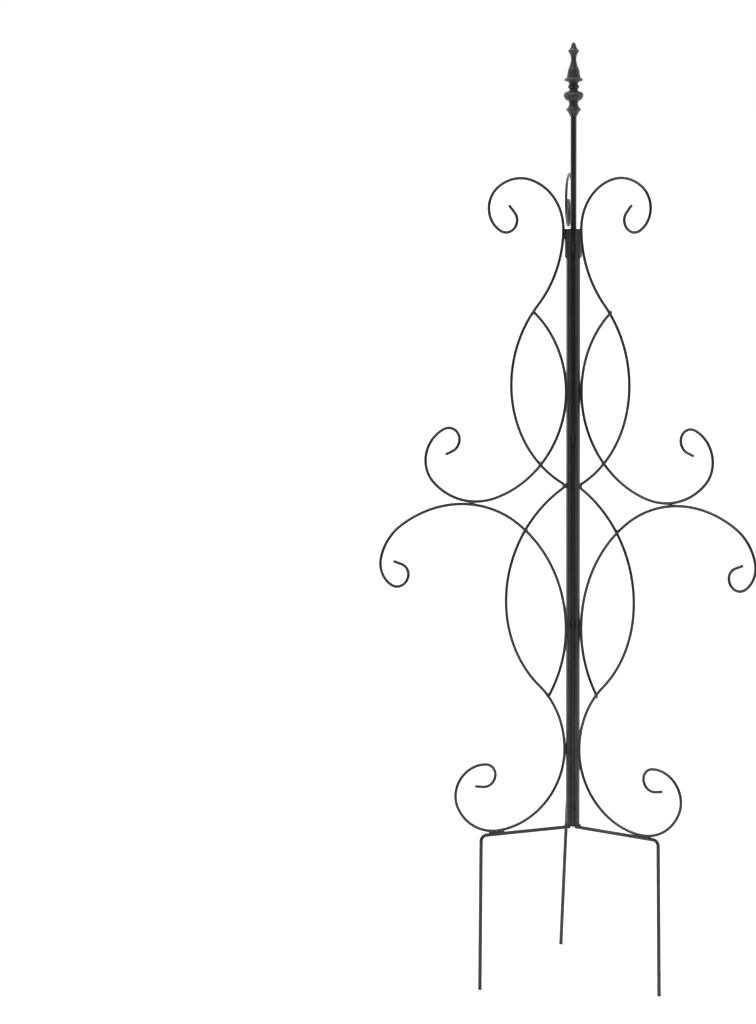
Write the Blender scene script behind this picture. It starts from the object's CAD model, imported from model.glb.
"""Looks of a three-sided scroll trellis: coated wire, bar and welds, and a cast finial.

Sizes are written in millimetres, as a maker would give them; meshes are built in metres.
Each panel is flat. A place in a panel is (r, z): r is the distance out from the post's
axis and z is the height. Each panel is built out along +X and then turned to its heading.
"""
import logging
import math
from dataclasses import dataclass, field, replace
from enum import Enum

import bpy
import numpy as np
from mathutils import Matrix, Vector


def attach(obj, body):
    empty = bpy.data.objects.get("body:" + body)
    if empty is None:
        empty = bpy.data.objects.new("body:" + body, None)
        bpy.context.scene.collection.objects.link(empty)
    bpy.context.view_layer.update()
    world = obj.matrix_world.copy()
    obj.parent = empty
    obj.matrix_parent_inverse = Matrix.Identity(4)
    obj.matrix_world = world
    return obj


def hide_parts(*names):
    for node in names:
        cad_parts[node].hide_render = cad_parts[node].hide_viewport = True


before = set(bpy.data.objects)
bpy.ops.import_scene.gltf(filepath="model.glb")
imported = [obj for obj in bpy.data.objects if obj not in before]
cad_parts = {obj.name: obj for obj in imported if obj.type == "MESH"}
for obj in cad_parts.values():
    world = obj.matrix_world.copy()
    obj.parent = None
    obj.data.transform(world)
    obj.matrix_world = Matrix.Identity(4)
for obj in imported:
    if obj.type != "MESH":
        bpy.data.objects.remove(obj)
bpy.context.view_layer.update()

MM = 0.001
LOG = logging.getLogger("trellis")


# ---- materials -------------------------------------------------------------------------
def linear(hex_colour: str) -> tuple[float, float, float, float]:
    """Turn an sRGB hex colour into linear red, green, blue and alpha.

    Args:
        hex_colour: six hex digits, such as "2b2b2d".

    Returns:
        Linear colour with alpha 1.
    """
    parts = [int(hex_colour[i:i + 2], 16) / 255 for i in (0, 2, 4)]
    red, green, blue = [
        p / 12.92 if p <= 0.04045 else ((p + 0.055) / 1.055) ** 2.4 for p in parts]
    return red, green, blue, 1.0


def node(tree: bpy.types.NodeTree, kind: str, links: dict | None = None,
         values: dict | None = None, **settings: object) -> bpy.types.Node:
    """Add one node with its settings, input values and links.

    Args:
        tree: the material's node tree.
        kind: the node's type name, such as "ShaderNodeTexNoise".
        links: input name or index to the output socket that feeds it.
        values: input name or index to its fixed value.
        settings: attributes of the node itself.

    Returns:
        The new node.
    """
    made = tree.nodes.new(kind)
    for name, value in settings.items():
        setattr(made, name, value)
    for key, value in (values or {}).items():
        made.inputs[key].default_value = value
    for key, socket in (links or {}).items():
        tree.links.new(socket, made.inputs[key])
    return made


@dataclass(frozen=True)
class Finish:
    """What every finish has: a real name, and the record's slot that it dresses."""

    name: str
    slot: str

    def material(self) -> bpy.types.Material:
        """Make the material, with its nodes, and return it."""
        made = bpy.data.materials.new(self.name)
        made.use_nodes = True
        tree = made.node_tree
        tree.nodes.clear()
        shader = self.dress(tree)
        node(tree, "ShaderNodeOutputMaterial", {"Surface": shader.outputs[0]})
        return made

    def dress(self, tree: bpy.types.NodeTree) -> bpy.types.Node:
        """Add the finish's own nodes to tree and return its shader."""
        raise NotImplementedError


@dataclass(frozen=True)
class SatinPowderCoat(Finish):
    """Satin black polyester powder coat, baked on blasted mild steel.

    The eye sees a dark neutral grey with soft, wide highlights, broken by a faint orange
    peel. The coat thins to a lighter grey along sharp arrises, and a little pale dust lies
    on faces that look up.
    """

    coat: str = "262628"
    heavy_coat: str = "1d1d1f"
    thin_coat: str = "5a5a5c"
    dust: str = "6d6b67"
    peel_mm: float = 1.6
    peel_depth_mm: float = 0.035
    patch_mm: float = 34.0
    gloss: float = 0.30
    dull: float = 0.44
    dust_share: float = 0.16
    thin_share: float = 0.55

    def dress(self, tree: bpy.types.NodeTree) -> bpy.types.Node:
        """Nodes of the coat: patches, thin arrises, dust on top, orange peel.

        Args:
            tree: the material's node tree.

        Returns:
            The shader node.
        """
        place = node(tree, "ShaderNodeTexCoord").outputs["Object"]
        patch = node(tree, "ShaderNodeTexNoise", {"Vector": place},
                     {"Scale": 1 / (self.patch_mm * MM), "Detail": 4.0, "Roughness": 0.6})
        peel = node(tree, "ShaderNodeTexNoise", {"Vector": place},
                    {"Scale": 1 / (self.peel_mm * MM), "Detail": 2.0, "Roughness": 0.45})
        grain = node(tree, "ShaderNodeTexNoise", {"Vector": place},
                     {"Scale": 1 / (2.6 * self.peel_mm * MM), "Detail": 3.0})
        spread = node(tree, "ShaderNodeMapRange", {"Value": patch.outputs[0]},
                      {"From Min": 0.34, "From Max": 0.66})
        body = node(tree, "ShaderNodeMix", {"Factor": spread.outputs[0]},
                    {6: linear(self.heavy_coat), 7: linear(self.coat)}, data_type="RGBA")

        arris = node(tree, "ShaderNodeAttribute", attribute_name="arris")
        rubbed = node(tree, "ShaderNodeMath",
                      {0: arris.outputs["Fac"], 1: grain.outputs[0]}, operation="MULTIPLY")
        thin = node(tree, "ShaderNodeMapRange", {"Value": rubbed.outputs[0]},
                    {"From Min": 0.30, "From Max": 0.72, "To Max": self.thin_share})
        worn = node(tree, "ShaderNodeMix",
                    {"Factor": thin.outputs[0], 6: body.outputs[2]},
                    {7: linear(self.thin_coat)}, data_type="RGBA")

        facing = node(tree, "ShaderNodeNewGeometry")
        split = node(tree, "ShaderNodeSeparateXYZ", {0: facing.outputs["Normal"]})
        settled = node(tree, "ShaderNodeMath",
                       {0: split.outputs["Z"], 1: grain.outputs[0]},
                       operation="MULTIPLY", use_clamp=True)
        dusty = node(tree, "ShaderNodeMapRange", {"Value": settled.outputs[0]},
                     {"From Min": 0.22, "From Max": 0.6, "To Max": self.dust_share})
        colour = node(tree, "ShaderNodeMix",
                      {"Factor": dusty.outputs[0], 6: worn.outputs[2]},
                      {7: linear(self.dust)}, data_type="RGBA")

        rough = node(tree, "ShaderNodeMapRange", {"Value": grain.outputs[0]},
                     {"From Min": 0.3, "From Max": 0.7,
                      "To Min": self.gloss, "To Max": self.dull})
        bump = node(tree, "ShaderNodeBump", {"Height": peel.outputs[0]},
                    {"Strength": 0.6, "Distance": self.peel_depth_mm * MM})
        return node(tree, "ShaderNodeBsdfPrincipled",
                    {"Base Color": colour.outputs[2], "Roughness": rough.outputs[0],
                     "Normal": bump.outputs[0]}, {"IOR": 1.5})


@dataclass(frozen=True)
class PaintedCasting(Finish):
    """Black paint sprayed thinly on sand-cast iron.

    The eye sees a mottled grey: the sand's grain shows through as pits and lumps, hollows
    are darker where the paint has pooled, and the rims are rubbed lighter.
    """

    pooled: str = "161617"
    film: str = "343436"
    rubbed: str = "6a6a6b"
    grain_mm: float = 1.3
    grain_depth_mm: float = 0.16
    lump_mm: float = 4.5
    lump_depth_mm: float = 0.45

    def dress(self, tree: bpy.types.NodeTree) -> bpy.types.Node:
        """Nodes of the casting: mottle, pooled hollows, rubbed rims, grain and lumps.

        Args:
            tree: the material's node tree.

        Returns:
            The shader node.
        """
        place = node(tree, "ShaderNodeTexCoord").outputs["Object"]
        lump = node(tree, "ShaderNodeTexNoise", {"Vector": place},
                    {"Scale": 1 / (self.lump_mm * MM), "Detail": 3.0, "Roughness": 0.6})
        grain = node(tree, "ShaderNodeTexNoise", {"Vector": place},
                     {"Scale": 1 / (self.grain_mm * MM), "Detail": 4.0, "Roughness": 0.65})
        pits = node(tree, "ShaderNodeTexVoronoi", {"Vector": place},
                    {"Scale": 1 / (2.2 * self.grain_mm * MM)}, feature="SMOOTH_F1")
        mottle = node(tree, "ShaderNodeMapRange", {"Value": lump.outputs[0]},
                      {"From Min": 0.36, "From Max": 0.62})
        body = node(tree, "ShaderNodeMix", {"Factor": mottle.outputs[0]},
                    {6: linear(self.pooled), 7: linear(self.film)}, data_type="RGBA")

        hollow = node(tree, "ShaderNodeAttribute", attribute_name="hollow")
        deep = node(tree, "ShaderNodeMix",
                    {"Factor": hollow.outputs["Fac"], 6: body.outputs[2]},
                    {7: linear(self.pooled)}, data_type="RGBA")
        arris = node(tree, "ShaderNodeAttribute", attribute_name="arris")
        rubbed = node(tree, "ShaderNodeMath",
                      {0: arris.outputs["Fac"], 1: grain.outputs[0]}, operation="MULTIPLY")
        bare = node(tree, "ShaderNodeMapRange", {"Value": rubbed.outputs[0]},
                    {"From Min": 0.22, "From Max": 0.62, "To Max": 0.7})
        colour = node(tree, "ShaderNodeMix",
                      {"Factor": bare.outputs[0], 6: deep.outputs[2]},
                      {7: linear(self.rubbed)}, data_type="RGBA")

        rough = node(tree, "ShaderNodeMapRange", {"Value": grain.outputs[0]},
                     {"From Min": 0.3, "From Max": 0.7, "To Min": 0.38, "To Max": 0.62})
        lumps = node(tree, "ShaderNodeBump", {"Height": lump.outputs[0]},
                     {"Strength": 0.8, "Distance": self.lump_depth_mm * MM})
        pitted = node(tree, "ShaderNodeBump",
                      {"Height": pits.outputs[0], "Normal": lumps.outputs[0]},
                      {"Strength": 0.5, "Distance": self.grain_depth_mm * MM})
        bump = node(tree, "ShaderNodeBump",
                    {"Height": grain.outputs[0], "Normal": pitted.outputs[0]},
                    {"Strength": 0.6, "Distance": self.grain_depth_mm * MM})
        return node(tree, "ShaderNodeBsdfPrincipled",
                    {"Base Color": colour.outputs[2], "Roughness": rough.outputs[0],
                     "Normal": bump.outputs[0]}, {"IOR": 1.5})


@dataclass(frozen=True)
class BlackOxide(Finish):
    """Black oxide on a hardened steel screw: blue-black, low sheen, fine turned lines."""

    film: str = "1b1c1f"
    oil: str = "2c2d31"
    line_mm: float = 0.5

    def dress(self, tree: bpy.types.NodeTree) -> bpy.types.Node:
        """Nodes of the oxide: oily patches and turned lines.

        Args:
            tree: the material's node tree.

        Returns:
            The shader node.
        """
        place = node(tree, "ShaderNodeTexCoord").outputs["Object"]
        oil = node(tree, "ShaderNodeTexNoise", {"Vector": place},
                   {"Scale": 1 / (1.5 * MM), "Detail": 3.0})
        lines = node(tree, "ShaderNodeTexWave", {"Vector": place},
                     {"Scale": 1 / (self.line_mm * MM) / 20, "Distortion": 1.0})
        colour = node(tree, "ShaderNodeMix", {"Factor": oil.outputs[0]},
                      {6: linear(self.film), 7: linear(self.oil)}, data_type="RGBA")
        rough = node(tree, "ShaderNodeMapRange", {"Value": oil.outputs[0]},
                     {"To Min": 0.3, "To Max": 0.55})
        bump = node(tree, "ShaderNodeBump", {"Height": lines.outputs[1]},
                    {"Strength": 0.3, "Distance": 0.02 * MM})
        return node(tree, "ShaderNodeBsdfPrincipled",
                    {"Base Color": colour.outputs[2], "Roughness": rough.outputs[0],
                     "Normal": bump.outputs[0]}, {"Metallic": 0.6})


@dataclass(frozen=True)
class StudioPaper(Finish):
    """Matt white studio paper: even, with a trace of fibre."""

    paper: str = "f4f4f4"
    fleck: str = "fafafa"

    def dress(self, tree: bpy.types.NodeTree) -> bpy.types.Node:
        """Nodes of the paper: a barely seen cloud of fibre.

        Args:
            tree: the material's node tree.

        Returns:
            The shader node.
        """
        place = node(tree, "ShaderNodeTexCoord").outputs["Object"]
        fibre = node(tree, "ShaderNodeTexNoise", {"Vector": place},
                     {"Scale": 40.0, "Detail": 3.0})
        colour = node(tree, "ShaderNodeMix", {"Factor": fibre.outputs[0]},
                      {6: linear(self.paper), 7: linear(self.fleck)}, data_type="RGBA")
        return node(tree, "ShaderNodeBsdfPrincipled", {"Base Color": colour.outputs[2]},
                    {"Roughness": 0.9, "Specular IOR Level": 0.1})


# ---- surfaces --------------------------------------------------------------------------
@dataclass
class Skin:
    """A closed surface: vertices, four-sided and three-sided faces, and paint masks.

    arris is 1 where the coat thins on an edge, hollow is 1 where paint pools.
    """

    vertices: np.ndarray
    quads: np.ndarray
    triangles: np.ndarray
    arris: np.ndarray
    hollow: np.ndarray

    @staticmethod
    def of_rings(rings: np.ndarray, first: np.ndarray, last: np.ndarray,
                 arris: np.ndarray | float = 0.0, hollow: np.ndarray | float = 0.0) -> "Skin":
        """Close a stack of rings into a skin, with a pole at each end.

        Vertex (i, j) is place j round ring i, and the last place joins the first. Each
        pole is joined to its ring by a fan.

        Args:
            rings: array (rings, places, 3) in metres, going right-handed round the travel.
            first: the pole before the first ring.
            last: the pole after the last ring.
            arris: mask over the rings' vertices, or one value.
            hollow: mask over the rings' vertices, or one value.

        Returns:
            The closed skin.
        """
        count, places = rings.shape[:2]
        index = 1 + np.arange(count * places).reshape(count, places)
        after = np.roll(index, -1, axis=1)
        quads = np.stack([index[:-1], after[:-1], after[1:], index[1:]], axis=-1)
        low = np.stack([np.zeros(places, int), after[0], index[0]], axis=-1)
        high = np.stack([np.full(places, 1 + count * places), index[-1], after[-1]], axis=-1)
        vertices = np.vstack([first[None], rings.reshape(-1, 3), last[None]])

        def mask(values: np.ndarray | float) -> np.ndarray:
            """Spread a mask over the rings and give the poles the nearest ring's mean."""
            full = np.broadcast_to(values, (count, places)).astype(float)
            return np.concatenate([[full[0].mean()], full.reshape(-1), [full[-1].mean()]])

        return Skin(vertices, quads.reshape(-1, 4), np.vstack([low, high]),
                    mask(arris), mask(hollow))

    @staticmethod
    def joined(skins: list["Skin"]) -> "Skin":
        """Put several skins into one, each still closed on its own."""
        starts = np.cumsum([0] + [len(s.vertices) for s in skins[:-1]])
        return Skin(
            np.vstack([s.vertices for s in skins]),
            np.vstack([s.quads + start for s, start in zip(skins, starts)]),
            np.vstack([s.triangles + start for s, start in zip(skins, starts)]),
            np.concatenate([s.arris for s in skins]),
            np.concatenate([s.hollow for s in skins]))

    def turned(self, degrees: float, r: float = 0.0, side: float = 0.0,
               chosen: np.ndarray | None = None) -> "Skin":
        """Turn the skin, or chosen vertices of it, about an upright line.

        Args:
            degrees: how far to turn.
            r: how far out the line stands, in millimetres.
            side: how far to the panel's side the line stands.
            chosen: mask of the vertices to turn; all of them if not given.

        Returns:
            The turned skin.
        """
        angle = math.radians(degrees)
        turn = np.array([[math.cos(angle), math.sin(angle), 0.0],
                         [-math.sin(angle), math.cos(angle), 0.0], [0.0, 0.0, 1.0]])
        line = np.array([r, side, 0.0]) * MM
        moved = (self.vertices - line) @ turn + line
        if chosen is not None:
            moved = np.where(chosen[:, None], moved, self.vertices)
        return replace(self, vertices=moved)

    def piece(self, name: str, finish: Finish, material: bpy.types.Material,
              cad_node: str, crease: float = 38.0) -> bpy.types.Object:
        """Make the skin an object that stands in for a CAD node.

        Args:
            name: the object's name.
            finish: the finish whose slot the piece takes.
            material: that finish's material.
            cad_node: the CAD node that the piece replaces.
            crease: faces that meet at more than this angle, in degrees, show an edge.

        Returns:
            The object, riding on the one CAD body.
        """
        mesh = bpy.data.meshes.new(name)
        mesh.from_pydata(self.vertices.tolist(), [],
                         self.quads.tolist() + self.triangles.tolist())
        for mask_name, values in (("arris", self.arris), ("hollow", self.hollow)):
            layer = mesh.attributes.new(mask_name, "FLOAT", "POINT")
            layer.data.foreach_set("value", values.astype(np.float32))
        mesh.shade_smooth()
        mesh.set_sharp_from_angle(angle=math.radians(crease))
        mesh.materials.append(material)
        mesh.validate()
        made = bpy.data.objects.new(name, mesh)
        bpy.context.scene.collection.objects.link(made)
        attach(made, "root")
        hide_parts(cad_node)
        LOG.info("%s: %d vertices", name, len(self.vertices))
        return made


@dataclass(frozen=True)
class Section:
    """Outline of a bar, as places round it and how near each is to an arris."""

    outline: np.ndarray
    arris: np.ndarray

    @staticmethod
    def round(diameter: float, places: int = 28) -> "Section":
        """A circle: radius times cosine and sine of the angle round it."""
        angle = np.linspace(0, 2 * np.pi, places, endpoint=False)
        circle = np.stack([np.cos(angle), np.sin(angle)], axis=-1) * diameter / 2
        return Section(circle, np.zeros(places))

    @staticmethod
    def oblong(width: float, depth: float, corner: float, per_corner: int = 7) -> "Section":
        """A rectangle with round corners: a quarter circle about each corner's centre.

        Args:
            width: size along the section's first axis.
            depth: size along its second axis.
            corner: radius of the corners.
            per_corner: places on each quarter circle.

        Returns:
            The section, whose arris mask peaks in the middle of each corner.
        """
        quarter = np.linspace(0, np.pi / 2, per_corner)
        starts = np.arange(4)[:, None] * np.pi / 2
        angle = starts + quarter[None]
        signs = np.array([[1, 1], [-1, 1], [-1, -1], [1, -1]])[:, None]
        centre = signs * (np.array([width, depth]) / 2 - corner)
        arc = centre + corner * np.stack([np.cos(angle), np.sin(angle)], axis=-1)
        peak = np.broadcast_to(np.sin(2 * quarter), angle.shape)
        return Section(arc.reshape(-1, 2), peak.reshape(-1))


@dataclass(frozen=True)
class Path:
    """Centre line of a bar in its panel: places (r, z) and unit directions of travel."""

    places: np.ndarray
    travel: np.ndarray

    def carry(self, section: Section, offset: float, chamfers: tuple[float, float]) -> Skin:
        """Carry a section along the path and close its ends.

        Each place of the section goes to centre + first * normal + second * side, where
        the normal is the travel turned a quarter turn away from the post and the side is
        the panel's own side. Each end has a chamfer: one more ring, shrunk and set back.

        Args:
            section: the bar's section.
            offset: how far the path lies to the panel's side.
            chamfers: size of the chamfer at the first and the last end.

        Returns:
            The closed skin, in metres, out along +X.
        """
        size = np.ones(len(self.places))
        reach = np.abs(section.outline).max()
        places, travel = self.places, self.travel
        for end, chamfer in ((0, chamfers[0]), (-1, chamfers[1])):
            if chamfer:
                outward = travel[end] * (-1 if end == 0 else 1)
                tip = places[end]
                back = tip - outward * chamfer
                grown = [places[:-1] if end else places[1:], back[None], tip[None]]
                places = np.vstack(grown if end else grown[::-1])
                step = travel[end][None]
                travel = np.vstack([travel[:-1], step, step] if end
                                   else [step, step, travel[1:]])
                shrunk = np.array([size[end], size[end] * (1 - chamfer / reach)])
                size = np.concatenate([size[:-1], shrunk] if end
                                      else [shrunk[::-1], size[1:]])
        normal = np.stack([travel[:, 1], -travel[:, 0]], axis=-1)
        across = section.outline[None] * size[:, None, None]
        plane = places[:, None] + across[..., :1] * normal[:, None]
        rings = np.stack([plane[..., 0], offset + across[..., 1], plane[..., 1]], axis=-1)
        ends = [np.array([p[0], offset, p[1]]) for p in (places[0], places[-1])]
        arris = np.broadcast_to(section.arris, rings.shape[:2]).copy()
        for end, chamfer in ((0, chamfers[0]), (-1, chamfers[1])):
            if chamfer:
                arris[end] = 1.0
        return Skin.of_rings(rings * MM, ends[0] * MM, ends[1] * MM, arris)


@dataclass(frozen=True)
class Bend:
    """One bend of a wire: radius of its centre line, and its turn in degrees.

    A positive turn leads away from the post.
    """

    radius: float
    turn: float


class Way(Enum):
    """Which way a chain of bends leaves the upright."""

    UP = 1
    DOWN = -1


@dataclass(frozen=True)
class Chain:
    """Bends that follow one another from the upright, and a straight tip."""

    bends: tuple[Bend, ...]
    tip: float = 0.0

    def path(self, r: float, height: float, way: Way, step: float = 3.0) -> Path:
        """Centre line of the chain.

        Along one bend the lean grows evenly with the distance travelled; the place moves
        out by radius * (cos(start lean) - cos(lean)) and along by radius * (sin(lean) -
        sin(start lean)), both turned over for an inward bend.

        Args:
            r: where the chain leaves the upright.
            height: the height it leaves at.
            way: up or down the upright.
            step: longest distance between two places.

        Returns:
            The path, from the upright to the free or welded end.
        """
        places = [np.array([[r, 0.0]])]
        leans = [np.array([0.0])]
        for bend in self.bends:
            length = abs(math.radians(bend.turn)) * bend.radius
            count = int(max(math.ceil(length / step), math.ceil(abs(bend.turn) / 5.0)))
            start, lean = places[-1][-1], leans[-1][-1]
            swing = lean + np.radians(bend.turn) * np.arange(1, count + 1) / count
            signed = math.copysign(bend.radius, bend.turn)
            moved = np.stack([math.cos(lean) - np.cos(swing),
                              np.sin(swing) - math.sin(lean)], axis=-1)
            places.append(start + signed * moved)
            leans.append(swing)
        if self.tip:
            lean = leans[-1][-1]
            reach = self.tip * np.linspace(0, 1, 6)[1:, None]
            places.append(places[-1][-1] + reach * np.array([math.sin(lean), math.cos(lean)]))
            leans.append(np.full(5, lean))
        flat, lean = np.vstack(places), np.concatenate(leans)
        rise = np.array([1.0, way.value])
        return Path(flat * rise + np.array([0.0, height]),
                    np.stack([np.sin(lean), np.cos(lean)], axis=-1) * rise)


@dataclass(frozen=True)
class ScrollWire:
    """One wire of a panel: a chain up and a chain down from where it touches the upright."""

    node: str
    r: float
    height: float
    up: Chain
    down: Chain
    side_shift: float
    up_twist: float = 0.0
    down_twist: float = 0.0
    diameter: float = 4.8
    end_chamfer: float = 0.6

    def skin(self) -> Skin:
        """The wire, carried along its lower chain backwards and then its upper chain.

        Each chain starts along the upright, so it can be turned about the upright without
        a kink: every vertex before or after the start is turned by that chain's twist.

        Returns:
            The wire's closed skin, out along +X.
        """
        low = self.down.path(self.r, self.height, Way.DOWN)
        high = self.up.path(self.r, self.height, Way.UP)
        places = np.vstack([low.places[:0:-1], high.places])
        travel = np.vstack([-low.travel[:0:-1], high.travel])
        chamfers = (self.end_chamfer if self.down.tip else 0.0,
                    self.end_chamfer if self.up.tip else 0.0)
        section = Section.round(self.diameter)
        skin = Path(places, travel).carry(section, self.side_shift, chamfers)
        split = 1 + (len(low.places) - 1 + (2 if chamfers[0] else 0)) * len(section.outline)
        below = np.arange(len(skin.vertices)) < split
        for twist, chosen in ((self.down_twist, below), (self.up_twist, ~below)):
            skin = skin.turned(twist, self.r, self.side_shift, chosen)
        return skin


@dataclass(frozen=True)
class StraightBar:
    """An upright bar or strip beside the post."""

    node: str
    r: float
    foot: float
    top: float
    section: Section
    chamfer: float = 0.3

    def skin(self) -> Skin:
        """The bar: its section carried straight up, with a small chamfer at each end."""
        heights = np.linspace(self.foot, self.top, 40)
        places = np.stack([np.full(40, self.r), heights], axis=-1)
        travel = np.broadcast_to(np.array([0.0, 1.0]), places.shape)
        return Path(places, travel).carry(self.section, 0.0, (self.chamfer, self.chamfer))


@dataclass(frozen=True)
class Leg:
    """Arm under the upright's foot, a bend, and the spike that goes into the ground."""

    diameter: float = 6.0
    start_r: float = 5.213
    start_height: float = 253.72
    arm_rise: float = 1.2
    reach: float = 166.8
    splay: float = 0.8
    bend_radius: float = 9.0
    tip_chamfer: float = 0.6
    lean: float = 0.0

    def skin(self) -> Skin:
        """The leg: straight arm, an even bend about one centre, straight spike.

        The whole leg is then turned about its arm by the lean, and the spike is stretched
        by a small share so that its tip still stands on the ground.

        Returns:
            The leg's closed skin, out along +X.
        """
        arm = np.array([math.cos(math.radians(self.arm_rise)),
                        math.sin(math.radians(self.arm_rise))])
        spike = np.array([math.sin(math.radians(self.splay)),
                          -math.cos(math.radians(self.splay))])
        foot = np.array([self.reach, 0.0])
        start = np.array([self.start_r, self.start_height])
        along, _ = np.linalg.solve(np.stack([arm, spike], axis=-1), foot - start)
        corner = start + along * arm
        turn = math.acos(float(arm @ spike))
        setback = self.bend_radius * math.tan(turn / 2)
        swing = np.linspace(0, 1, 25)[:, None] * turn
        inward = np.array([arm[1], -arm[0]])
        bend = (corner - setback * arm + self.bend_radius
                * (np.sin(swing) * arm + (1 - np.cos(swing)) * inward))
        directions = np.cos(swing) * arm + np.sin(swing) * inward
        arm_part = start + np.linspace(0, 1, 30)[:-1, None] * (bend[0] - start)
        spike_part = bend[-1] + np.linspace(0, 1, 40)[1:, None] * (foot - bend[-1])
        places = np.vstack([arm_part, bend, spike_part])
        travel = np.vstack([np.tile(arm, (29, 1)), directions, np.tile(spike, (39, 1))])
        skin = Path(places, travel).carry(
            Section.round(self.diameter), 0.0, (0.0, self.tip_chamfer))
        origin = np.array([start[0], 0.0, start[1]]) * MM
        leaning = np.array(Matrix.Rotation(math.radians(self.lean), 3,
                                           Vector((arm[0], 0.0, arm[1]))))
        moved = (skin.vertices - origin) @ leaning.T + origin
        lowest, top = moved[:, 2].min(), origin[2]
        on_spike = moved[:, 2] < top - 0.02
        stretch = np.where(on_spike, top / (top - lowest), 1.0)
        moved[:, 2] = top - (top - moved[:, 2]) * stretch
        return replace(skin, vertices=moved)


@dataclass(frozen=True)
class WeldBead:
    """One bead of weld, coated over: a heap of small overlapping ripples.

    axis is the way the torch travelled and length is the straight part of that travel.
    """

    centre: tuple[float, float, float]
    radius: float
    length: float = 0.0
    axis: tuple[float, float, float] = (0.0, 0.0, 1.0)
    ripple_pitch: float = 1.5
    ripple_height: float = 0.05

    def skin(self, seed: int) -> Skin:
        """The bead as a rod with round ends, rippled across its travel.

        The radius at distance s along the travel is radius * sqrt(1 - e * e), where e is
        how far s is past the straight part, as a share of the radius. It is then raised by
        a saw-tooth ripple along the travel and by slow lumps round it.

        Args:
            seed: picks the bead's own lumps.

        Returns:
            The bead's closed skin, out along +X.
        """
        luck = np.random.default_rng(seed)
        span = self.length / 2 + self.radius
        swing = np.linspace(-1, 1, int(18 + 2.4 * self.length) * 2 + 1)[1:-1]
        travel = span * np.sin(swing * np.pi / 2)
        past = np.clip((np.abs(travel) - self.length / 2) / self.radius, 0, 1)
        girth = np.sqrt(np.clip(1 - past * past, 0, 1))
        angle = np.linspace(0, 2 * np.pi, 32, endpoint=False)
        bow = travel[:, None] + 0.35 * self.radius * np.cos(angle)[None] ** 2
        tooth = np.mod(bow / self.ripple_pitch + luck.random(), 1.0)
        ripple = self.ripple_height * (np.sin(np.pi * tooth) - 0.6)
        phase = luck.random(3) * 2 * np.pi
        lumps = (0.03 * np.cos(2 * angle + phase[0])[None]
                 + 0.03 * np.cos(3 * angle[None] + phase[1] + travel[:, None] / 1.7)
                 + 0.02 * np.cos(travel[:, None] / 0.9 + phase[2]))
        spread = self.radius * girth[:, None] * (1 + ripple + lumps - 0.03)
        along = np.array(self.axis) / np.linalg.norm(self.axis)
        other = np.array([0.0, 1.0, 0.0]) if abs(along[1]) < 0.9 else np.array([1.0, 0, 0])
        first = np.cross(other, along)
        first /= np.linalg.norm(first)
        second = np.cross(along, first)
        centre = np.array(self.centre)
        rings = (centre + travel[:, None, None] * along
                 + (spread * np.cos(angle))[..., None] * first
                 + (spread * np.sin(angle))[..., None] * second)
        ends = [centre - span * along, centre + span * along]
        hollow = np.clip(1 - 2.2 * np.sin(np.pi * tooth), 0, 1)
        return Skin.of_rings(rings * MM, ends[0] * MM, ends[1] * MM, 0.0, hollow)


# ---- the panels ------------------------------------------------------------------------
class Side(Enum):
    """The three panels and their headings from +X, in degrees."""

    LEFT = -150.0
    RIGHT = -30.0
    BACK = 95.3

    @property
    def word(self) -> str:
        """The side's word in node names."""
        return self.name.lower()


@dataclass(frozen=True)
class Finishes:
    """Every finish on the trellis, with its material made once."""

    wire: Finish = SatinPowderCoat("powder_coated_wire", "wire")
    round_bar: Finish = SatinPowderCoat("powder_coated_round_bar", "round_bar",
                                        patch_mm=48.0)
    square_bar: Finish = SatinPowderCoat("powder_coated_square_bar", "square_bar",
                                         thin_share=0.8)
    weld: Finish = SatinPowderCoat("powder_coated_weld", "weld", coat="2a2a2b",
                                   peel_mm=0.9, peel_depth_mm=0.06, gloss=0.26, dull=0.5)
    casting: Finish = PaintedCasting("painted_sand_cast_iron", "casting")
    screw: Finish = BlackOxide("black_oxide_steel", "screw")
    paper: Finish = StudioPaper("studio_paper", "stage")
    cloth: Finish = StudioPaper("black_cloth", "stage", paper="101010", fleck="161616")
    made: dict[str, bpy.types.Material] = field(default_factory=dict)

    def material(self, finish: Finish) -> bpy.types.Material:
        """The finish's material, made when it is first asked for."""
        if finish.name not in self.made:
            self.made[finish.name] = finish.material()
        return self.made[finish.name]


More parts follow.
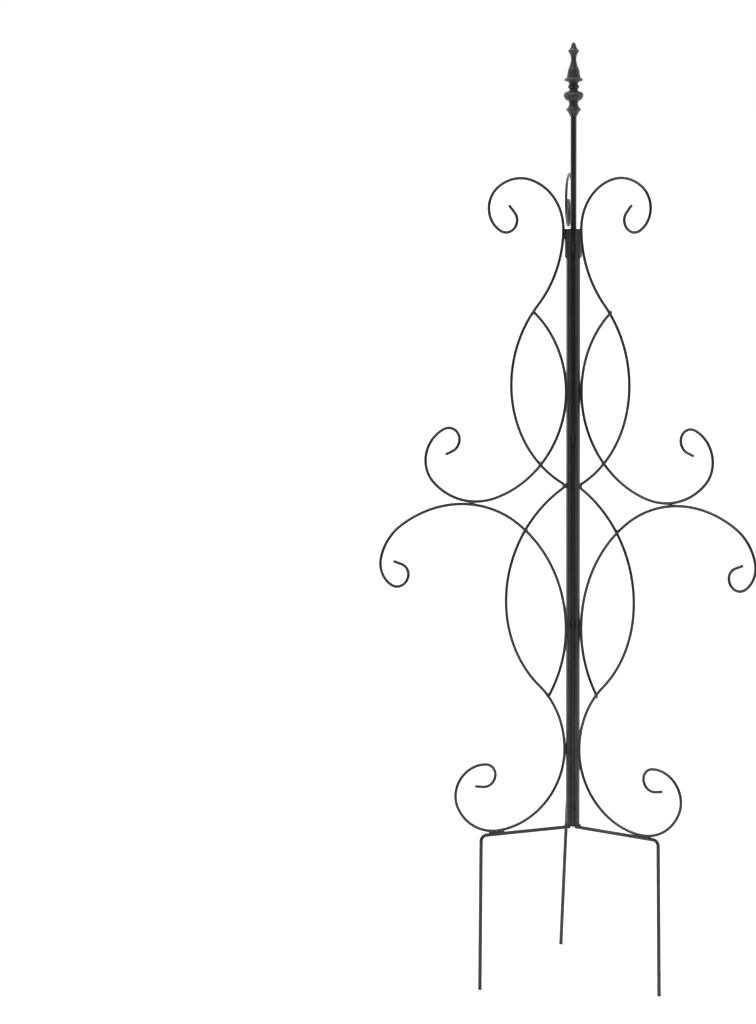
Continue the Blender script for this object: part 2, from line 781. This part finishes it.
@dataclass
class ScrollPanel:
    """One flat panel: upright, spacer, four scroll wires, a leg and their welds."""

    side: Side
    finishes: Finishes
    touch_r: float = 13.95
    crown_touch_r: float = 16.45
    upright_inner: float = 5.0
    upright_side: float = 6.4
    upright_corner: float = 0.7
    spacer_thickness: float = 2.5
    spacer_length: float = 45.0
    foot: float = 257.0
    top: float = 1222.7
    layer: float = 2.475
    wire_radius: float = 2.4
    crown_twist: float = 0.0
    foot_twist: float = 0.0
    spike_lean: float = 0.0

    def wires(self) -> list[ScrollWire]:
        """The four scroll wires, from the crown down.

        Crown and base wires lie on one side of the panel's middle plane and the other two
        on the other side, so that they cross without meeting.

        Returns:
            The wires.
        """
        return [
            ScrollWire("crown_scroll", self.crown_touch_r, self.top,
                       Chain((Bend(82.0, 72.0), Bend(60.0, 55.0), Bend(41.4, 112.0),
                              Bend(18.5, 160.0)), 15.4),
                       Chain((Bend(179.7, 40.9), Bend(190.6, -99.346))), -self.layer,
                       up_twist=self.crown_twist),
            ScrollWire("upper_scroll", self.touch_r, 965.31,
                       Chain((Bend(177.4, 46.4),)),
                       Chain((Bend(166.9, 74.0), Bend(105.3, 65.1), Bend(52.1, 106.6),
                              Bend(19.2, 183.6)), 12.0), self.layer),
            ScrollWire("middle_scroll", self.touch_r, 582.0,
                       Chain((Bend(230.6, 50.8), Bend(170.8, 71.4), Bend(79.1, 44.3),
                              Bend(42.7, 69.1), Bend(18.1, 190.7)), 15.1),
                       Chain((Bend(200.0, 32.0),)), self.layer),
            ScrollWire("base_scroll", self.touch_r, 383.63,
                       Chain((Bend(155.4, 44.5), Bend(204.0, -104.178))),
                       Chain((Bend(122.3, 87.0), Bend(74.9, 70.9), Bend(47.3, 120.5),
                              Bend(18.4, 181.8)), 13.7), -self.layer,
                       down_twist=self.foot_twist),
        ]

    def upright_beads(self) -> list[WeldBead]:
        """Beads between the upright and its wires, spacer and leg."""
        face = self.upright_inner + self.upright_side
        seam = face + 0.4 * self.wire_radius
        fillet = 1.25 * self.wire_radius
        return [
            WeldBead((seam + self.spacer_thickness, -self.layer, self.top - 9), fillet, 9.0),
            WeldBead((face, 0.0, self.top - self.spacer_length), 2.25,
                     axis=(0.0, 1.0, 0.0)),
            WeldBead((face + 2.2, -0.8 * self.layer, 814.73), 4.4, axis=(1.0, 0.0, 0.0)),
            WeldBead((seam, self.layer, 965.31), fillet, 9.0),
            WeldBead((seam, self.layer, 582.0), fillet, 9.0),
            WeldBead((seam, -self.layer, 383.63), fillet, 9.0),
            WeldBead((face, 0.0, self.foot), 3.75, axis=(0.0, 1.0, 0.0)),
        ]

    def crossing_beads(self) -> list[WeldBead]:
        """Beads where wires cross, lap or touch each other and the leg's arm."""
        size = 1.5 * self.wire_radius
        beads = [
            WeldBead((57.42, 0.0, 853.39), size, axis=(0.6, 0.0, 0.8)),
            WeldBead((83.21, 0.0, 747.81), size, axis=(0.6, 0.0, 0.8)),
            WeldBead((69.01, 0.0, 1093.78), size, axis=(0.7, 0.0, 0.7)),
            WeldBead((44.34, 0.0, 476.02), size, axis=(0.6, 0.0, -0.8)),
            WeldBead((178.5, 5.35, 799.31), 2.64, 1.2, axis=(1.0, 0.0, 0.0)),
        ]
        return beads

    def arm_beads(self) -> list[WeldBead]:
        """Three stitches where the base scroll lies on the leg's arm."""
        return [WeldBead(place, 3.96, 1.0, axis=(1.0, 0.0, 0.02)) for place in
                ((126.34, -1.34, 258.94), (135.34, -1.34, 259.13), (144.34, -1.34, 259.32))]

    def build(self) -> None:
        """Make every piece of the panel and put it in the CAD node's place."""
        face = self.upright_inner + self.upright_side
        finishes, word, heading = self.finishes, self.side.word, self.side.value
        square = Section.oblong(self.upright_side, self.upright_side, self.upright_corner)
        strip = Section.oblong(self.spacer_thickness, self.upright_side, 0.25, 4)
        bars = [
            StraightBar("upright", self.upright_inner + self.upright_side / 2,
                        self.foot, self.top, square),
            StraightBar("top_spacer", face + self.spacer_thickness / 2,
                        self.top - self.spacer_length, self.top, strip),
        ]
        parts: list[tuple[str, Skin, Finish]] = [
            (wire.node, wire.skin(), finishes.wire) for wire in self.wires()]
        parts += [(bar.node, bar.skin(), finishes.square_bar) for bar in bars]
        foot_line = (self.foot_twist, self.touch_r, -self.layer)
        leg = Leg(lean=self.spike_lean).skin().turned(*foot_line)
        parts.append(("leg", leg, finishes.round_bar))
        seed = 100 * (1 + list(Side).index(self.side))
        seams = [bead.skin(seed + number)
                 for number, bead in enumerate(self.upright_beads())]
        blobs = [bead.skin(seed + 50 + number)
                 for number, bead in enumerate(self.crossing_beads())]
        blobs += [bead.skin(seed + 70 + number).turned(*foot_line)
                  for number, bead in enumerate(self.arm_beads())]
        parts.append(("upright_welds", Skin.joined(seams), finishes.weld))
        parts.append(("crossing_welds", Skin.joined(blobs), finishes.weld))
        for name, skin, finish in parts:
            skin.turned(heading).piece(f"{name}_{word}_coated", finish,
                                       finishes.material(finish), f"{name}_{word}")


# ---- post and finial -------------------------------------------------------------------
@dataclass
class Post:
    """Centre post, and the tack welds in the valleys between the uprights."""

    finishes: Finishes
    diameter: float = 10.0
    foot: float = 255.0
    top: float = 1421.7
    tack_radius: float = 2.5
    tack_length: float = 12.0
    tack_margin: float = 30.0
    column_foot: float = 257.0
    column_top: float = 1222.7

    def build(self) -> None:
        """Make the post and its tack welds."""
        heights = np.linspace(self.foot, self.top, 80)
        places = np.stack([np.zeros(80), heights], axis=-1)
        travel = np.broadcast_to(np.array([0.0, 1.0]), places.shape)
        bar = Path(places, travel).carry(Section.round(self.diameter, 40), 0.0, (0.0, 0.6))
        steel, weld = self.finishes.round_bar, self.finishes.weld
        bar.piece("centre_post_coated", steel, self.finishes.material(steel), "centre_post")

        headings = sorted(side.value for side in Side)
        nexts = headings[1:] + [headings[0] + 360]
        span = self.column_top - self.column_foot - 2 * self.tack_margin
        r = self.diameter / 2 + 0.1 * self.tack_radius
        skins = []
        for valley, (one, other) in enumerate(zip(headings, nexts)):
            for row in range(4):
                height = self.column_foot + self.tack_margin + span * row / 3
                tack = WeldBead((r, 0.0, height), self.tack_radius, self.tack_length)
                skins.append(tack.skin(10 * valley + row).turned((one + other) / 2))
        Skin.joined(skins).piece("post_welds_coated", weld, self.finishes.material(weld),
                                 "post_welds")


@dataclass(frozen=True)
class Station:
    """A place on the finial's outline: height above its foot, radius, and the outline's
    bow on the way to the next station, positive where it is hollow."""

    height: float
    radius: float
    bow: float = 0.0


@dataclass
class Finial:
    """Sand-cast finial: collar, ribbed bulb, ring, skirt, faceted bell, collar and bud."""

    finishes: Finishes
    foot: float = 1397.7
    stations: tuple[Station, ...] = (
        Station(0.0, 6.2, 0.9), Station(9.0, 11.3), Station(11.2, 11.3, 1.1),
        Station(18.6, 7.0), Station(23.0, 7.6, -2.2), Station(32.6, 15.5, -1.6),
        Station(38.0, 8.6, 0.3), Station(41.0, 6.4), Station(44.4, 8.9),
        Station(45.8, 8.9, 0.5), Station(50.6, 6.9, 0.9), Station(54.0, 14.2),
        Station(57.4, 14.4, 0.5), Station(60.0, 10.6), Station(72.0, 8.5, 0.9),
        Station(87.5, 4.1, 1.2), Station(99.6, 8.7), Station(101.0, 8.7, 0.5),
        Station(105.2, 4.9), Station(110.2, 3.3, -0.9), Station(113.3, 0.0))
    facets: int = 8
    facet_share: float = 0.55
    gadroons: int = 10
    gadroon_depth: float = 0.7
    seam_height: float = 0.25
    hole_heading: float = 95.3
    hole_height: float = 10.1
    hole_radius: float = 2.1
    hole_depth: float = 1.6
    places_round: int = 192

    def outline(self) -> tuple[np.ndarray, np.ndarray]:
        """Height and radius along the outline.

        Between two stations the outline is a parabola: the straight line plus four times
        the bow times t * (1 - t), at a right angle to it.

        Returns:
            Heights and radii, in millimetres.
        """
        heights, radii = [], []
        for one, other in zip(self.stations[:-1], self.stations[1:]):
            rise, run = other.height - one.height, other.radius - one.radius
            length = math.hypot(rise, run)
            t = np.linspace(0, 1, max(8, int(length * 2.6)), endpoint=False)
            bow = 4 * one.bow * t * (1 - t)
            heights.append(one.height + rise * t + bow * run / length)
            radii.append(one.radius + run * t - bow * rise / length)
        return np.concatenate(heights), np.concatenate(radii)

    def skin(self) -> Skin:
        """The casting: its outline turned about the axis, with flats, ribs and a seam.

        At each height and angle the radius is the outline's, times a share of a regular
        polygon's radius on the bell and neck, less a rib's hollow on the bulb, plus a thin
        parting seam on two sides, less the dimple of the screw's hole.

        Returns:
            The finial's closed skin.
        """
        height, radius = self.outline()
        angle = np.linspace(0, 2 * np.pi, self.places_round, endpoint=False)
        h, r0 = height[:, None], radius[:, None]

        def between(low: float, high: float, soft: float) -> np.ndarray:
            """1 between two heights, falling to 0 over soft millimetres."""
            return np.clip((h - low) / soft + 0.5, 0, 1) * np.clip((high - h) / soft + 0.5, 0, 1)

        third = np.pi / self.facets
        polygon = math.cos(third) / np.cos(np.mod(angle, 2 * third) - third)
        bell = between(59.5, 99.0, 3.0) * self.facet_share
        r = r0 * (1 - bell * (1 - polygon[None]))
        rib = np.abs(np.sin(self.gadroons * angle / 2))[None]
        r = r - between(24.0, 37.0, 5.0) * self.gadroon_depth * (1 - rib) ** 2
        bud = between(105.5, 112.0, 2.0)
        r = r - bud * 0.35 * (1 - np.abs(np.sin(3 * angle))[None])
        seam = np.exp(-((np.cos(angle) * 14.0) ** 2))[None]
        r = r + self.seam_height * seam * np.clip(r0 / 6, 0, 1) * between(1.0, 111.0, 2.0)
        off = np.angle(np.exp(1j * (angle - math.radians(self.hole_heading))))
        away = np.hypot(off[None] * 11.0, h - self.hole_height)
        r = r - self.hole_depth * np.clip((self.hole_radius - away) / 0.35 + 0.5, 0, 1)
        r = np.maximum(r, 0.02)

        window = 12
        padded = np.pad(radius, window, mode="edge")
        swept = np.stack([padded[k:k + len(radius)] for k in range(2 * window + 1)])
        hollow = np.clip((swept.max(axis=0) - radius) / 7, 0, 1) ** 1.2
        rim = np.clip((radius - swept.mean(axis=0)) / 1.6, 0, 1)
        rings = np.stack([r * np.cos(angle)[None], r * np.sin(angle)[None],
                          self.foot + np.broadcast_to(h, r.shape)], axis=-1)
        first = np.array([0.0, 0.0, self.foot])
        last = np.array([0.0, 0.0, self.foot + self.stations[-1].height])
        return Skin.of_rings(rings * MM, first * MM, last * MM,
                             rim[:, None] * np.ones_like(angle)[None],
                             hollow[:, None] * np.ones_like(angle)[None])

    def build(self) -> None:
        """Make the casting and dress its screw, which keeps the CAD node's own mesh."""
        iron, oxide = self.finishes.casting, self.finishes.screw
        self.skin().piece("finial_cast", iron, self.finishes.material(iron), "finial", 50.0)
        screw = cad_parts["finial_grub_screw"]
        screw.data.materials.clear()
        screw.data.materials.append(self.finishes.material(oxide))
        LOG.info("finial_grub_screw: dressed")


# ---- studio ----------------------------------------------------------------------------
@dataclass
class Studio:
    """White paper floor, a dark cloth in front, soft light, and the camera."""

    finishes: Finishes
    floor_radius: float = 60.0
    lens: float = 98.45
    camera_place: tuple[float, float, float] = (0.3084, -4.4095, 1.5038)
    aim: tuple[float, float, float] = (0.0, 0.0, 0.7732)
    swing: float = 4.041
    roll: float = 0.6
    cloth_half_angle: float = 52.0
    cloth_radius: float = 3.2
    cloth_foot: float = 0.01
    cloth_top: float = 4.0

    def sheet(self, name: str, places: np.ndarray, faces: list, finish: Finish,
              hidden: bool = False) -> None:
        """Put a sheet of the studio in the scene.

        Args:
            name: the object's name.
            places: its vertices, in metres.
            faces: its faces, as lists of vertex numbers.
            finish: its finish.
            hidden: True keeps it out of the camera's sight.
        """
        mesh = bpy.data.meshes.new(name)
        mesh.from_pydata(places.tolist(), [], faces)
        mesh.materials.append(self.finishes.material(finish))
        made = bpy.data.objects.new(name, mesh)
        made.visible_camera = not hidden
        bpy.context.scene.collection.objects.link(made)

    def floor(self) -> None:
        """A flat round sheet: places are radius times cosine and sine of the angle."""
        angle = np.linspace(0, 2 * np.pi, 96, endpoint=False)
        radius = np.array([0.5, 2.0, 6.0, 18.0, self.floor_radius])[:, None]
        rings = np.stack([radius * np.cos(angle), radius * np.sin(angle),
                          np.zeros((5, 96))], axis=-1)
        index = 1 + np.arange(5 * 96).reshape(5, 96)
        after = np.roll(index, -1, axis=1)
        quads = np.stack([index[:-1], index[1:], after[1:], after[:-1]], axis=-1)
        fan = np.stack([np.zeros(96, int), index[0], after[0]], axis=-1)
        self.sheet("paper_floor", np.vstack([np.zeros((1, 3)), rings.reshape(-1, 3)]),
                   quads.reshape(-1, 4).tolist() + fan.tolist(), self.finishes.paper)

    def light(self) -> None:
        """A bright white surround and one broad key, high above."""
        world = bpy.data.worlds.new("white_surround")
        world.use_nodes = True
        world.node_tree.nodes["Background"].inputs["Color"].default_value = (1, 1, 1, 1)
        world.node_tree.nodes["Background"].inputs["Strength"].default_value = 1.0
        bpy.context.scene.world = world
        key = bpy.data.lights.new("broad_key", "SUN")
        key.energy, key.angle = 2.2, math.radians(50)
        lamp = bpy.data.objects.new("broad_key", key)
        lamp.rotation_euler = (math.radians(18), 0.0, math.radians(-50))
        bpy.context.scene.collection.objects.link(lamp)

    def flag(self) -> None:
        """A wide dark cloth round the front of the tower, hidden from the camera.

        It is part of an upright drum about the post: places are radius times cosine and
        sine of the heading. It keeps light off the faces that look forward, so the gaps
        between the uprights go dark and the bars are edged with light. It also shades the
        floor, which shows from behind.
        """
        rows, columns = 9, 33
        heading = np.radians(np.linspace(-90 - self.cloth_half_angle,
                                         -90 + self.cloth_half_angle, columns))
        height = np.linspace(self.cloth_foot, self.cloth_top, rows)[:, None]
        grid = np.stack([self.cloth_radius * np.cos(heading) + 0 * height,
                         self.cloth_radius * np.sin(heading) + 0 * height,
                         height + 0 * heading], axis=-1)
        index = np.arange(rows * columns).reshape(rows, columns)
        quads = np.stack([index[:-1, :-1], index[:-1, 1:], index[1:, 1:], index[1:, :-1]],
                         axis=-1)
        self.sheet("dark_cloth", grid.reshape(-1, 3), quads.reshape(-1, 4).tolist(),
                   self.finishes.cloth, hidden=True)

    def camera(self) -> None:
        """Camera at its place, looking at the aim, swung about the vertical, then rolled."""
        place = Vector(self.camera_place)
        look = (Vector(self.aim) - place).normalized()
        look = Matrix.Rotation(math.radians(self.swing), 3, "Z") @ look
        right = look.cross(Vector((0, 0, 1))).normalized()
        right = Matrix.Rotation(math.radians(self.roll), 3, look) @ right
        up = right.cross(look)
        lens = bpy.data.cameras.new("studio_camera")
        lens.lens, lens.sensor_width, lens.sensor_fit = self.lens, 36.0, "AUTO"
        lens.clip_start, lens.clip_end = 0.05, 300.0
        made = bpy.data.objects.new("studio_camera", lens)
        made.matrix_world = Matrix.Translation(place) @ Matrix(
            (right, up, -look)).transposed().to_4x4()
        bpy.context.scene.collection.objects.link(made)
        bpy.context.scene.camera = made

    def build(self) -> None:
        """Set up the floor, the light and the camera."""
        self.floor()
        self.flag()
        self.light()
        self.camera()
        bpy.context.scene.view_settings.view_transform = "Standard"
        LOG.info("studio: ready")


def main() -> None:
    """Build the trellis from the post out, then the studio, and note the two sizes."""
    logging.basicConfig(level=logging.INFO, format="%(name)s: %(message)s")
    finishes = Finishes()
    Post(finishes).build()
    # The back panel's crown curl and foot are twisted to one side, and its spike leans.
    bent = {"crown_twist": 5.0, "foot_twist": 2.1, "spike_lean": 2.4}
    for side in Side:
        ScrollPanel(side, finishes, **(bent if side is Side.BACK else {})).build()
        LOG.info("panel %s: built", side.word)
    Finial(finishes).build()
    Studio(finishes).build()


if __name__ == "__main__":
    main()
